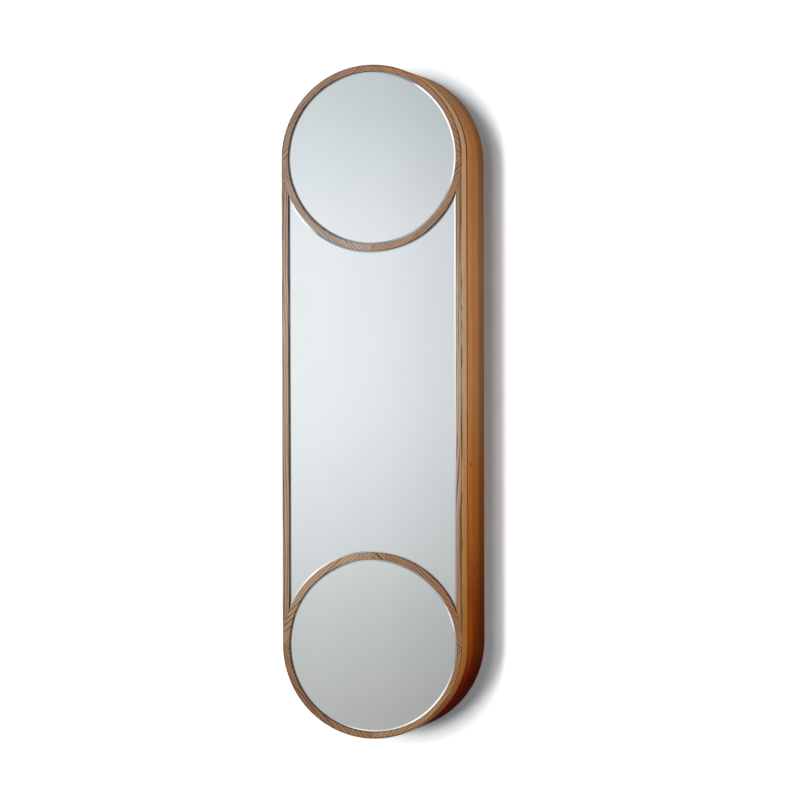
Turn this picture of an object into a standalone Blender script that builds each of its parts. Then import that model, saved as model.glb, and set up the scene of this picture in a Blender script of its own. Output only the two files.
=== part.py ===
"""Wall-hung mirror cabinet with a capsule outline, as a Blender model.

+Z is up, the front looks along -Y, the wall is the plane Y = 0, and the origin
is the middle of the wall cleat's back face. A bent and laminated case holds
shelves. A thick door hangs in front of it on butt hinges down its left side,
and carries three bevelled mirrors in a frame of two rings and two stiles.
"""

import math

import bmesh
import bpy

# Driving dimensions, in metres.
HALF_WIDTH = 0.200  # also the outer radius of both round ends
HALF_STRAIGHT = 0.5246  # middle of the cabinet to the centre of a round end
CENTRE_Z = -0.400  # middle of the cabinet, seen from the wall cleat
DEPTH = 0.211  # wall to the front of the door
DOOR_THICKNESS = 0.0435
SHADOW_GAP = 0.005  # between the case and the door
FIT = 0.0003  # clearance between pieces that touch
ARC_STEPS = 40  # straight facets in half a turn of the large arcs
SHARP_ANGLE = 30  # degrees between faces, from which an edge is shaded sharp
OVERSHOOT = 0.002  # how far a cutter starts outside the face it enters

# Case.
CASE_FRONT = -(DEPTH - DOOR_THICKNESS - SHADOW_GAP)
WALL_THICKNESS = 0.018
INNER_RADIUS = HALF_WIDTH - WALL_THICKNESS
BACK_REBATE = 0.008  # width of the step that the back panel sits in
REBATE_RADIUS = INNER_RADIUS + BACK_REBATE
CLEAT_SPACE = 0.012  # free depth between the back panel and the wall
BACK_PANEL_THICKNESS = 0.006
PANEL_FRONT = -(CLEAT_SPACE + BACK_PANEL_THICKNESS)

# Shelves.
FIXED_SHELVES = (-0.50, -0.25, 0.25, 0.50)  # heights from the middle of the cabinet
SHELF_THICKNESS = 0.015
SHELF_FRONT = CASE_FRONT + 0.013
SHELF_BACK = PANEL_FRONT - 2 * FIT
HOUSING_DEPTH = 0.006  # how far a fixed shelf runs into each side
LOOSE_SHELF_GAP = 0.001  # at each end of the loose shelf
PIN_RADIUS = 0.0025
PIN_LENGTH = 0.016
PIN_HOLE_DEPTH = PIN_LENGTH / 2 + 2 * FIT
PIN_ROWS = (0.028, 0.105)  # behind the front edge of the case
PIN_PITCH = 0.032  # between the holes of one row
PIN_DROP = SHELF_THICKNESS / 2 + PIN_RADIUS + FIT

# Door.
DOOR_FRONT = -DEPTH
DOOR_BACK = DOOR_FRONT + DOOR_THICKNESS
BAND_THICKNESS = 0.002
FRAME_THICKNESS = 0.011
FRAME_HALF_WIDTH = HALF_WIDTH - BAND_THICKNESS - FIT
FRAME_BACK = DOOR_FRONT + FRAME_THICKNESS
INNER_PANEL_THICKNESS = 0.004
RING_INNER = 0.1862
RING_OUTER = 0.200
STILE_INNER = 0.1860  # from the middle of the door

# Mirrors.
MIRROR_THICKNESS = 0.006
MIRROR_EDGE = 0.0055  # thickness left at the rim of a bevel
BEVEL_WIDTH = 0.0046
GLASS_CLEARANCE = 0.0006

# Hanging.
RAIL_THICKNESS = CLEAT_SPACE - 2 * FIT
RAIL_HALF_WIDTH = 0.150
CLEAT_HEIGHT = 0.060
WALL_SCREW_RADIUS = 0.0025
WALL_SCREW_X = 0.100

# Hinges.
HINGE_HEIGHTS = (-0.43, 0.0, 0.43)  # from the middle of the cabinet
HINGE_LENGTH = 0.076
BARREL_RADIUS = 0.003
BARREL_STEPS = 20
BARREL_BORE = 0.0016
HINGE_PIN_RADIUS = 0.0015
HINGE_X = -HALF_WIDTH - BARREL_RADIUS - 0.0005
HINGE_Y = CASE_FRONT - SHADOW_GAP / 2
LEAF_EDGE_X = -HALF_WIDTH + 0.0155
LEAF_OUTER = SHADOW_GAP / 2 - FIT  # far face of a leaf, from the hinge's axis
KNUCKLES = 5
SCREW_X = -HALF_WIDTH + 0.0085
SCREW_SPREAD = 0.022  # from the middle of the hinge to a screw
SCREW_HEAD_RADIUS = 0.0029
SCREW_HEAD_DEPTH = 0.00135
SCREW_RADIUS = 0.0015
SCREW_LENGTH = 0.014
SCREW_CLEARANCE = 0.00025
SMALL_STEPS = 16  # facets round screws, pins and buttons

# Catches and bumpers.
CATCH_HEIGHTS = {"lower": -0.30, "upper": 0.30}
CATCH_X = HALF_WIDTH - WALL_THICKNESS / 2
CATCH_RADIUS = 0.005
CATCH_BURIED = 0.010
STRIKE_RADIUS = 0.007
STRIKE_THICKNESS = 0.0009
BUMPER_RADIUS = 0.004

# Colour, roughness and metallic value of each finish.
FINISHES = {
    "front_wood": ((0.36, 0.25, 0.17), 0.55, 0.0),
    "edge_wood": ((0.45, 0.27, 0.12), 0.50, 0.0),
    "case_wood": ((0.36, 0.16, 0.06), 0.45, 0.0),
    "inside_wood": ((0.42, 0.25, 0.13), 0.55, 0.0),
    "core_board": ((0.55, 0.42, 0.28), 0.85, 0.0),
    "mirror": ((0.88, 0.90, 0.90), 0.02, 1.0),
    "brass": ((0.62, 0.44, 0.18), 0.32, 1.0),
    "steel": ((0.58, 0.58, 0.60), 0.30, 1.0),
    "rubber": ((0.10, 0.10, 0.10), 0.80, 0.0),
}


def clear_scene():
    for item in list(bpy.data.objects):
        bpy.data.objects.remove(item, do_unlink=True)


def finish(name, kind):
    """A Principled material for one piece."""
    colour, roughness, metallic = FINISHES[kind]
    material = bpy.data.materials.new(name + "_" + kind)
    material.use_nodes = True
    shader = material.node_tree.nodes["Principled BSDF"]
    shader.inputs["Base Color"].default_value = (*colour, 1.0)
    shader.inputs["Roughness"].default_value = roughness
    shader.inputs["Metallic"].default_value = metallic
    return material


def add_object(name, mesh, kind):
    if kind:
        mesh.materials.clear()
        mesh.materials.append(finish(name, kind))
    item = bpy.data.objects.new(name, mesh)
    bpy.context.scene.collection.objects.link(item)
    return item


def skin(name, sections, kind=None, closed=False):
    """A closed body through cross-sections that have equal numbers of points.

    A closed row of sections makes a ring; an open one is capped at both ends.
    """
    work = bmesh.new()
    rows = [[work.verts.new(point) for point in section] for section in sections]
    pairs = list(zip(rows, rows[1:]))
    if closed:
        pairs.append((rows[-1], rows[0]))
    else:
        work.faces.new(rows[0])
        work.faces.new(rows[-1])
    for one, two in pairs:
        for i in range(len(one)):
            j = (i + 1) % len(one)
            work.faces.new((one[i], one[j], two[j], two[i]))
    bmesh.ops.recalc_face_normals(work, faces=work.faces[:])
    mesh = bpy.data.meshes.new(name)
    work.to_mesh(mesh)
    work.free()
    mesh.shade_smooth()
    mesh.set_sharp_from_angle(angle=math.radians(SHARP_ANGLE))
    return add_object(name, mesh, kind)


def box(name, low, high, kind=None):
    corners = ((low[0], low[1]), (high[0], low[1]), (high[0], high[1]), (low[0], high[1]))
    return skin(name, [[(x, y, z) for x, y in corners] for z in (low[2], high[2])], kind)


def turned(name, profile, kind=None, steps=SMALL_STEPS):
    """A body turned about Z from (radius, height) pairs, with flat ends."""
    turns = [2 * math.pi * i / steps for i in range(steps)]
    sections = [[(r * math.cos(a), r * math.sin(a), z) for a in turns] for r, z in profile]
    return skin(name, sections, kind)


def copy_of(source, name, kind):
    """Another object of the same shape, with its own finish."""
    return add_object(name, source.data.copy(), kind)


def cut(target, cutter):
    """Takes the cutter's space out of the target, and removes the cutter."""
    modifier = target.modifiers.new("cut", "BOOLEAN")
    modifier.operation = "DIFFERENCE"
    modifier.solver = "EXACT"
    modifier.object = cutter
    bpy.context.view_layer.update()
    evaluated = target.evaluated_get(bpy.context.evaluated_depsgraph_get())
    result = bpy.data.meshes.new_from_object(evaluated)
    target.modifiers.remove(modifier)
    target.data = result
    bpy.data.objects.remove(cutter, do_unlink=True)


def remove(item):
    bpy.data.objects.remove(item, do_unlink=True)


def aim(item, x, y, z, side):
    """Turns a piece made along Z to face -Y (side 1) or +Y (side -1), and places it."""
    item.rotation_euler = (side * math.pi / 2, 0, 0)
    item.location = (x, y, z)
    return item


# --- outlines, as (x, z) points -----------------------------------------------


def end_point(radius, angle, end):
    """A point round the centre of the top end (end 1) or the bottom end (end -1)."""
    return (
        radius * math.cos(angle),
        CENTRE_Z + end * HALF_STRAIGHT + radius * math.sin(angle),
    )


def end_arc(radius, end, start, stop, steps):
    """Points round an end's centre from one angle to another, in degrees."""
    angles = [start + (stop - start) * i / steps for i in range(steps + 1)]
    return [end_point(radius, math.radians(a), end) for a in angles]


def capsule(radius):
    top = end_arc(radius, 1, 0, 180, ARC_STEPS)
    bottom = end_arc(radius, -1, 180, 360, ARC_STEPS)
    return top + bottom


def slab(name, outline, front, back, kind):
    """An outline given thickness between two depths."""
    return skin(name, [[(x, y, z) for x, z in outline] for y in (front, back)], kind)


# --- case -----------------------------------------------------------------------


def rim_profile():
    """(distance from the end's centre, depth) round the section of the case's wall."""
    step = PANEL_FRONT - FIT
    return (
        (HALF_WIDTH, CASE_FRONT),
        (HALF_WIDTH, 0.0),
        (REBATE_RADIUS, 0.0),
        (REBATE_RADIUS, step),
        (INNER_RADIUS, step),
        (INNER_RADIUS, CASE_FRONT),
    )


def make_arch(name, end):
    """Half a turn of the case's wall, bent from laminated strips."""
    sections = []
    for i in range(ARC_STEPS + 1):
        angle = end * math.pi * i / ARC_STEPS
        section = []
        for radius, y in rim_profile():
            x, z = end_point(radius, angle, end)
            section.append((x, y, z))
        sections.append(section)
    return skin(name, sections, "case_wood")


def make_side(name, side):
    """A straight wall of the case, with housings for the shelves and holes for their pins."""
    ends = [CENTRE_Z + s * (HALF_STRAIGHT - FIT) for s in (-1, 1)]
    profile = [(side * radius, y) for radius, y in rim_profile()]
    wall = skin(name, [[(x, y, z) for x, y in profile] for z in ends], "case_wood")
    for height in FIXED_SHELVES:
        half = SHELF_THICKNESS / 2 + FIT
        reach = sorted((side * (INNER_RADIUS - OVERSHOOT), side * (INNER_RADIUS + HOUSING_DEPTH)))
        low = (reach[0], SHELF_FRONT - FIT, CENTRE_Z + height - half)
        high = (reach[1], PANEL_FRONT + OVERSHOOT, CENTRE_Z + height + half)
        cut(wall, box("housing", low, high))
    for row in PIN_ROWS:
        for step in (-1, 0, 1):
            radius = PIN_RADIUS + FIT
            hole = turned("pin_hole", ((radius, -PIN_HOLE_DEPTH), (radius, OVERSHOOT)))
            hole.rotation_euler = (0, -side * math.pi / 2, 0)
            hole.location = (
                side * INNER_RADIUS,
                CASE_FRONT + row,
                CENTRE_Z - PIN_DROP + step * PIN_PITCH,
            )
            cut(wall, hole)
    return wall


def make_shelves():
    for number, height in enumerate(FIXED_SHELVES, 1):
        half = INNER_RADIUS + HOUSING_DEPTH - FIT
        low = (-half, SHELF_FRONT, CENTRE_Z + height - SHELF_THICKNESS / 2)
        high = (half, SHELF_BACK, CENTRE_Z + height + SHELF_THICKNESS / 2)
        box(f"fixed_shelf_{number}", low, high, "inside_wood")
    half = INNER_RADIUS - LOOSE_SHELF_GAP
    low = (-half, SHELF_FRONT, CENTRE_Z - SHELF_THICKNESS / 2)
    high = (half, SHELF_BACK, CENTRE_Z + SHELF_THICKNESS / 2)
    box("loose_shelf", low, high, "inside_wood")


def make_shelf_pins():
    chamfer = 0.0004
    profile = (
        (PIN_RADIUS - chamfer, -PIN_LENGTH / 2),
        (PIN_RADIUS, -PIN_LENGTH / 2 + chamfer),
        (PIN_RADIUS, PIN_LENGTH / 2 - chamfer),
        (PIN_RADIUS - chamfer, PIN_LENGTH / 2),
    )
    number = 0
    for side in (-1, 1):
        for row in PIN_ROWS:
            number += 1
            pin = turned(f"shelf_pin_{number}", profile, "steel")
            pin.rotation_euler = (0, math.pi / 2, 0)
            pin.location = (side * INNER_RADIUS, CASE_FRONT + row, CENTRE_Z - PIN_DROP)


def make_hanging_parts():
    """Two rails with slanting edges that hook into each other and carry the cabinet."""
    slope = RAIL_THICKNESS / 2
    joint = CLEAT_HEIGHT / 2
    wall_side = (
        (0.0, -joint),
        (-RAIL_THICKNESS, -joint),
        (-RAIL_THICKNESS, joint + slope),
        (0.0, joint - slope),
    )
    sections = [[(x, y, z) for y, z in wall_side] for x in (-RAIL_HALF_WIDTH, RAIL_HALF_WIDTH)]
    cleat = skin("wall_cleat", sections, "core_board")
    reach = RAIL_THICKNESS + OVERSHOOT
    for side in (-1, 1):
        profile = ((WALL_SCREW_RADIUS, -reach), (WALL_SCREW_RADIUS, reach))
        cut(cleat, aim(turned("wall_screw_hole", profile), side * WALL_SCREW_X, 0, 0, 1))
    back = -2 * FIT
    front = back - RAIL_THICKNESS + FIT
    lift = joint + 2 * FIT
    top = lift + CLEAT_HEIGHT
    case_side = (
        (back, lift - slope),
        (front, lift + slope),
        (front, top),
        (back, top),
    )
    sections = [[(x, y, z) for y, z in case_side] for x in (-RAIL_HALF_WIDTH, RAIL_HALF_WIDTH)]
    skin("hanging_rail", sections, "core_board")


def make_catches(right_side):
    """Magnets set in the right edge of the case, which stop the door and hold it."""
    for word, height in CATCH_HEIGHTS.items():
        z = CENTRE_Z + height
        hole_radius = CATCH_RADIUS + FIT
        hole = turned("catch_hole", ((hole_radius, -CATCH_BURIED - FIT), (hole_radius, OVERSHOOT)))
        cut(right_side, aim(hole, CATCH_X, CASE_FRONT, z, 1))
        top = SHADOW_GAP - STRIKE_THICKNESS - 2 * FIT
        chamfer = 0.0005
        profile = (
            (CATCH_RADIUS, -CATCH_BURIED),
            (CATCH_RADIUS, top - chamfer),
            (CATCH_RADIUS - chamfer, top),
        )
        aim(turned(f"magnet_catch_{word}", profile, "steel"), CATCH_X, CASE_FRONT, z, 1)


def make_bumpers():
    """Soft buttons in the gap at the top and the bottom of the case."""
    thickness = SHADOW_GAP - 2 * FIT
    chamfer = 0.001
    profile = (
        (BUMPER_RADIUS, 0.0),
        (BUMPER_RADIUS, thickness - chamfer),
        (BUMPER_RADIUS - chamfer, thickness),
    )
    for word, end in (("bottom", -1), ("top", 1)):
        reach = HALF_STRAIGHT + HALF_WIDTH - WALL_THICKNESS / 2
        button = turned(f"bumper_{word}", profile, "rubber")
        aim(button, 0, CASE_FRONT - FIT, CENTRE_Z + end * reach, 1)


# --- door -------------------------------------------------------------------------


def make_edge_band():
    """A thin strip bent right round the edge of the door."""
    inner = HALF_WIDTH - BAND_THICKNESS
    corners = (
        (HALF_WIDTH, DOOR_FRONT),
        (HALF_WIDTH, DOOR_BACK),
        (inner, DOOR_BACK),
        (inner, DOOR_FRONT),
    )
    sections = []
    for end, start in ((1, 0.0), (-1, math.pi)):
        for i in range(ARC_STEPS + 1):
            angle = start + math.pi * i / ARC_STEPS
            section = []
            for radius, y in corners:
                x, z = end_point(radius, angle, end)
                section.append((x, y, z))
            sections.append(section)
    return skin("door_edge_band", sections, "edge_wood", closed=True)


def ring_outer(angle, beside_middle):
    """Outer radius of a ring: inside the edge band, and full beside the middle mirror."""
    if not beside_middle:
        return FRAME_HALF_WIDTH
    across = abs(math.cos(angle))
    if RING_OUTER * across < FRAME_HALF_WIDTH:
        return RING_OUTER
    return FRAME_HALF_WIDTH / across


def ring_angles(start):
    """Angles of a quarter's sections, with one where the ring leaves the edge band."""
    gap = FIT / 2 / RING_INNER
    leaving = math.acos(FRAME_HALF_WIDTH / RING_OUTER)
    steps = ARC_STEPS // 2 - 2
    middle = math.pi / 2 - 2 * leaving
    marks = [gap, leaving / 2]
    marks += [leaving + middle * i / steps for i in range(steps + 1)]
    marks += [math.pi / 2 - leaving / 2, math.pi / 2 - gap]
    return [start + mark for mark in marks]


def make_ring(word, end):
    """A ring of four quarters whose joints are at the top, the bottom and the sides."""
    quarters = ("upper_right", "upper_left", "lower_left", "lower_right")
    for number, quarter in enumerate(quarters):
        beside_middle = quarter.startswith("lower") == (end > 0)
        sections = []
        for angle in ring_angles(number * math.pi / 2):
            outer = ring_outer(angle, beside_middle)
            corners = (
                (RING_INNER, DOOR_FRONT),
                (outer, DOOR_FRONT),
                (outer, FRAME_BACK),
                (RING_INNER, FRAME_BACK),
            )
            section = []
            for radius, y in corners:
                x, z = end_point(radius, angle, end)
                section.append((x, y, z))
            sections.append(section)
        skin(f"ring_{word}_{quarter}", sections, "front_wood")


def coped_height(x):
    """Half height of a stile at x, where its end is shaped to the round of a ring."""
    return HALF_STRAIGHT - math.sqrt((RING_OUTER + FIT) ** 2 - x * x)


def make_stile(name, side):
    steps = 6
    across = [
        STILE_INNER + (FRAME_HALF_WIDTH - STILE_INNER) * i / steps for i in range(steps + 1)
    ]
    top = [(side * x, CENTRE_Z + coped_height(x)) for x in across]
    bottom = [(side * x, CENTRE_Z - coped_height(x)) for x in reversed(across)]
    slab(name, top + bottom, DOOR_FRONT, FRAME_BACK, "front_wood")


def round_outline(end, inset):
    radius = RING_INNER - GLASS_CLEARANCE - inset
    return end_arc(radius, end, 0, 360, 2 * ARC_STEPS)[:-1]


def middle_outline(inset):
    """The middle mirror: straight sides, and ends hollowed by the two rings."""
    half = STILE_INNER - GLASS_CLEARANCE - inset
    radius = RING_OUTER + GLASS_CLEARANCE + inset
    corner = math.degrees(math.acos(half / radius))
    top = end_arc(radius, 1, -corner, corner - 180, ARC_STEPS)
    bottom = end_arc(radius, -1, 180 - corner, corner, ARC_STEPS)
    return top + bottom


def make_mirror(name, outline_at):
    """A plate of silvered glass with a bevel round its front."""
    back = FRAME_BACK
    rim = back - MIRROR_EDGE
    front = back - MIRROR_THICKNESS
    steps = ((0.0, back), (0.0, rim), (BEVEL_WIDTH, front))
    sections = [[(x, y, z) for x, z in outline_at(inset)] for inset, y in steps]
    skin(name, sections, "mirror")


def make_mirrors():
    make_mirror("mirror_top", lambda inset: round_outline(1, inset))
    make_mirror("mirror_middle", middle_outline)
    make_mirror("mirror_bottom", lambda inset: round_outline(-1, inset))


def screw_places():
    """Heights of the screws, two to a leaf, with a name for each."""
    places = []
    for number, height in enumerate(HINGE_HEIGHTS, 1):
        for letter, step in (("a", -SCREW_SPREAD), ("b", SCREW_SPREAD)):
            places.append((f"{number}{letter}", CENTRE_Z + height + step))
    return places


def drill_for_screws(piece, side):
    """Holes for the hinge screws: side 1 is the case's wall and side -1 the door."""
    radius = SCREW_RADIUS + FIT
    for _, z in screw_places():
        hole = turned("screw_hole", ((radius, -SCREW_LENGTH - 2 * FIT), (radius, FIT)))
        cut(piece, aim(hole, SCREW_X, HINGE_Y, z, side))


def make_door_boards():
    """The board behind the mirrors, and the veneered panel seen when the door is open."""
    panel_front = DOOR_BACK - INNER_PANEL_THICKNESS
    outline = capsule(FRAME_HALF_WIDTH)
    core = slab("door_core", outline, FRAME_BACK + FIT, panel_front - FIT, "core_board")
    panel = slab("door_inner_panel", outline, panel_front, DOOR_BACK, "inside_wood")
    for piece in (core, panel):
        drill_for_screws(piece, -1)


def make_strike_plates():
    chamfer = 0.0002
    profile = (
        (STRIKE_RADIUS, 0.0),
        (STRIKE_RADIUS, STRIKE_THICKNESS - chamfer),
        (STRIKE_RADIUS - chamfer, STRIKE_THICKNESS),
    )
    for word, height in CATCH_HEIGHTS.items():
        plate = turned(f"strike_plate_{word}", profile, "steel")
        aim(plate, CATCH_X, DOOR_BACK + FIT, CENTRE_Z + height, -1)


# --- hinges -----------------------------------------------------------------------


def leaf_outline(side):
    """A leaf and its barrel seen along the axis: side 1 lies on the case, -1 on the door."""
    low = math.asin(FIT / BARREL_RADIUS)
    high = math.asin(LEAF_OUTER / BARREL_RADIUS)
    turn = 2 * math.pi - (high - low)
    points = []
    for i in range(BARREL_STEPS + 1):
        angle = high + turn * i / BARREL_STEPS
        x = HINGE_X + BARREL_RADIUS * math.cos(angle)
        points.append((x, HINGE_Y + side * BARREL_RADIUS * math.sin(angle)))
    points.append((LEAF_EDGE_X, HINGE_Y + side * FIT))
    points.append((LEAF_EDGE_X, HINGE_Y + side * LEAF_OUTER))
    return points


def make_leaf(side):
    """One leaf about Z = 0, with its own knuckles, its bore and its screw holes."""
    half = HINGE_LENGTH / 2
    outline = leaf_outline(side)
    leaf = skin("leaf", [[(x, y, z) for x, y in outline] for z in (-half, half)])
    pitch = HINGE_LENGTH / KNUCKLES
    own_first = 0 if side > 0 else 1
    for number in range(1 - own_first, KNUCKLES, 2):
        low = -half + number * pitch - FIT / 2
        high = low + pitch + FIT
        reach = BARREL_RADIUS + FIT
        low -= OVERSHOOT if number == 0 else 0
        high += OVERSHOOT if number == KNUCKLES - 1 else 0
        notch = box(
            "notch",
            (HINGE_X - 2 * reach, HINGE_Y - 2 * reach, low),
            (HINGE_X + reach, HINGE_Y + 2 * reach, high),
        )
        cut(leaf, notch)
    bore = turned("bore", ((BARREL_BORE, -HINGE_LENGTH), (BARREL_BORE, HINGE_LENGTH)))
    bore.location = (HINGE_X, HINGE_Y, 0)
    cut(leaf, bore)
    slope = (SCREW_HEAD_RADIUS - SCREW_RADIUS) / SCREW_HEAD_DEPTH
    over = 0.0002  # past the face of the leaf
    wide = SCREW_HEAD_RADIUS + SCREW_CLEARANCE
    narrow = SCREW_RADIUS + SCREW_CLEARANCE
    for step in (-SCREW_SPREAD, SCREW_SPREAD):
        profile = (
            (narrow, -2 * LEAF_OUTER),
            (narrow, -SCREW_HEAD_DEPTH),
            (wide + over * slope, over),
        )
        sink = turned("sink", profile)
        cut(leaf, aim(sink, SCREW_X, HINGE_Y + side * FIT, step, side))
    return leaf


def make_screw():
    """A countersunk screw along Z with a cross recess, its head's face at Z = 0."""
    tip = 0.003
    tip_radius = 0.0003
    profile = (
        (tip_radius, -SCREW_LENGTH),
        (SCREW_RADIUS, -SCREW_LENGTH + tip),
        (SCREW_RADIUS, -SCREW_HEAD_DEPTH),
        (SCREW_HEAD_RADIUS, 0.0),
    )
    screw = turned("screw", profile)
    arm = 0.0016
    half = 0.0003
    depth, above = 0.0008, 0.0005
    cross = (
        (arm, -half),
        (arm, half),
        (half, half),
        (half, arm),
        (-half, arm),
        (-half, half),
        (-arm, half),
        (-arm, -half),
        (-half, -half),
        (-half, -arm),
        (half, -arm),
        (half, -half),
    )
    recess = skin("recess", [[(x, y, z) for x, y in cross] for z in (-depth, above)])
    cut(screw, recess)
    return screw


def make_hinge_pin(name, z):
    top = HINGE_LENGTH / 2
    below = 0.0015  # how far the foot shows under the barrel
    head_radius, head_top = 0.0024, 0.0017
    foot_chamfer, head_chamfer = 0.0004, 0.0005
    profile = (
        (HINGE_PIN_RADIUS - foot_chamfer, -top - below),
        (HINGE_PIN_RADIUS, -top - below + foot_chamfer),
        (HINGE_PIN_RADIUS, top + FIT),
        (head_radius, top + FIT),
        (head_radius, top + head_top - head_chamfer),
        (head_radius - head_chamfer, top + head_top),
    )
    pin = turned(name, profile, "brass")
    pin.location = (HINGE_X, HINGE_Y, z)


def make_hinges():
    screw = make_screw()
    for word, side in (("case", 1), ("door", -1)):
        leaf = make_leaf(side)
        for number, height in enumerate(HINGE_HEIGHTS, 1):
            placed = copy_of(leaf, f"hinge_leaf_{word}_{number}", "brass")
            placed.location = (0, 0, CENTRE_Z + height)
        remove(leaf)
        sunk = 0.00002  # head below the face of the leaf
        face = HINGE_Y + side * (FIT + sunk)
        for label, z in screw_places():
            placed = copy_of(screw, f"hinge_screw_{word}_{label}", "brass")
            aim(placed, SCREW_X, face, z, side)
    remove(screw)
    for number, height in enumerate(HINGE_HEIGHTS, 1):
        make_hinge_pin(f"hinge_pin_{number}", CENTRE_Z + height)


def hang_door():
    """Parents what turns with the door to an empty on the hinges' axis."""
    axis = bpy.data.objects.new("door_axis", None)
    bpy.context.scene.collection.objects.link(axis)
    axis.location = (HINGE_X, HINGE_Y, CENTRE_Z)
    bpy.context.view_layer.update()
    moving = ("door_", "ring_", "stile_", "mirror_", "strike_", "hinge_leaf_door", "hinge_screw_door")
    for item in bpy.data.objects:
        if item is not axis and item.name.startswith(moving):
            item.parent = axis
            item.matrix_parent_inverse = axis.matrix_world.inverted()


def build():
    clear_scene()
    make_arch("case_top_arch", 1)
    make_arch("case_bottom_arch", -1)
    left = make_side("case_left_side", -1)
    right = make_side("case_right_side", 1)
    slab("back_panel", capsule(REBATE_RADIUS - FIT), PANEL_FRONT, -CLEAT_SPACE, "inside_wood")
    make_shelves()
    make_shelf_pins()
    make_hanging_parts()
    make_catches(right)
    make_bumpers()
    make_edge_band()
    make_ring("top", 1)
    make_ring("bottom", -1)
    make_stile("stile_left", -1)
    make_stile("stile_right", 1)
    make_mirrors()
    make_door_boards()
    make_strike_plates()
    drill_for_screws(left, 1)
    make_hinges()
    hang_door()


build()
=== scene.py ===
"""Looks of the capsule-shaped wall mirror cabinet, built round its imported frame.

The door's frame, edge strip and mirrors and the case's bent ends are rebuilt here,
with rounded edges and a grain that follows each piece. The other pieces keep their
CAD shape, some with eased edges, and get materials of their own. Everything is in
metres, in the frame's own place.
"""
import math

import bmesh
import bpy
from mathutils import Matrix, Vector


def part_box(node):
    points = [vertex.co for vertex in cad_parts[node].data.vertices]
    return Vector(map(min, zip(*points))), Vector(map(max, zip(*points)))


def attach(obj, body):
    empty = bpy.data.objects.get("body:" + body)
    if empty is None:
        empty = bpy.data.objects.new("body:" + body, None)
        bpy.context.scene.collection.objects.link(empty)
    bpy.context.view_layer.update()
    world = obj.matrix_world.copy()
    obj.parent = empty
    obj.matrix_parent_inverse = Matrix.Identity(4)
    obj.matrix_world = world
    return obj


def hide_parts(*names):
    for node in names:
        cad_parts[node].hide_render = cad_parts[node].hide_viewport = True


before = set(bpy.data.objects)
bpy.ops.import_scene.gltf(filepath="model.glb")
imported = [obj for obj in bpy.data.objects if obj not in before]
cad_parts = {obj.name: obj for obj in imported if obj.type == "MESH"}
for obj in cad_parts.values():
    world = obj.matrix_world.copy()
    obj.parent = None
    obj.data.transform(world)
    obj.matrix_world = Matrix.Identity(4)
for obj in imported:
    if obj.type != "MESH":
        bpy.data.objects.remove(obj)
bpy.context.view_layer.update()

DOOR = "door"
CASE = "case"

# Sizes that the frame gives.
BAND_LOW, BAND_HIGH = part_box("door_edge_band")
RADIUS = (BAND_HIGH.x - BAND_LOW.x) / 2
CENTRE_Z = (BAND_HIGH.z + BAND_LOW.z) / 2
HALF_HEIGHT = (BAND_HIGH.z - BAND_LOW.z) / 2
HALF_STRAIGHT = HALF_HEIGHT - RADIUS
DOOR_FRONT, DOOR_BACK = BAND_LOW.y, BAND_HIGH.y
STILE_LOW, STILE_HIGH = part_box("stile_right")
STILE_INNER, FRAME_HALF_WIDTH = STILE_LOW.x, STILE_HIGH.x
FRAME_BACK = STILE_HIGH.y
GLASS_LOW, GLASS_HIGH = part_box("mirror_top")
GLASS_RADIUS = (GLASS_HIGH.x - GLASS_LOW.x) / 2
GLASS_FRONT, GLASS_BACK = GLASS_LOW.y, GLASS_HIGH.y
MIDDLE_HALF_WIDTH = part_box("mirror_middle")[1].x
CASE_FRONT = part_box("case_top_arch")[0].y
PANEL_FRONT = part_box("back_panel")[0].y
PANEL_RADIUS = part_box("back_panel")[1].x

# Sizes that match the CAD's own.
FIT = 0.0003  # gap between two pieces of wood
GLASS_CLEARANCE = 0.0006
RING_INNER = GLASS_RADIUS + GLASS_CLEARANCE
RING_OUTER = RADIUS
BAND_THICKNESS = 0.002
WALL_THICKNESS = 0.018

# Fine detail that is drawn only here, or finer than in the CAD.
BEVEL_WIDTH = 0.0038
BEVEL_DROP = 0.0004
BEVEL_FLAT = 0.0003  # tiny flat between the glass's rim and the bevel
JOINT_WIDTH = 0.0009  # open joint between the frame and the edge band, on the right
JOINT_DEPTH = 0.0080
ARRIS = 0.0008  # rounding of the wood's front edges
SMALL_ARRIS = 0.0004  # rounding beside the shadow gap and where the band meets the frame
RAIL_ARRIS = 0.0006
LEAF_ARRIS = 0.00015
# Painted shadow: the width of the dark line put where the door's shadow gap falls on the case's front.
GAP_SHADOW_WIDTH = 0.0035  # dark line on the outer edge of the case's front, behind the door

# How the meshes are made.
ARC_STEPS = 96  # along a half circle
STILE_STEPS = 12  # across a stile's hollow end
CORNER_STEPS = 3  # round an eased corner
WELD_DISTANCE = 0.00001
WOOD_SHARP = 35.0  # degrees between faces that shade as a sharp edge
GLASS_SHARP = 4.0
EASED_ANGLE = 40.0
GRAIN = "grain"  # mesh attribute: along, across and into the board, in metres

# Colours of the outer wood, pale and dark.
LEFT_COLOURS = ((0.49, 0.36, 0.27), (0.088, 0.050, 0.028))
RIGHT_COLOURS = ((0.458, 0.311, 0.205), (0.079, 0.040, 0.020))
BAND_COLOURS = ((0.70, 0.40, 0.17), (0.39, 0.18, 0.065))
CASE_COLOURS = ((0.49, 0.195, 0.065), (0.23, 0.074, 0.020))
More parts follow.
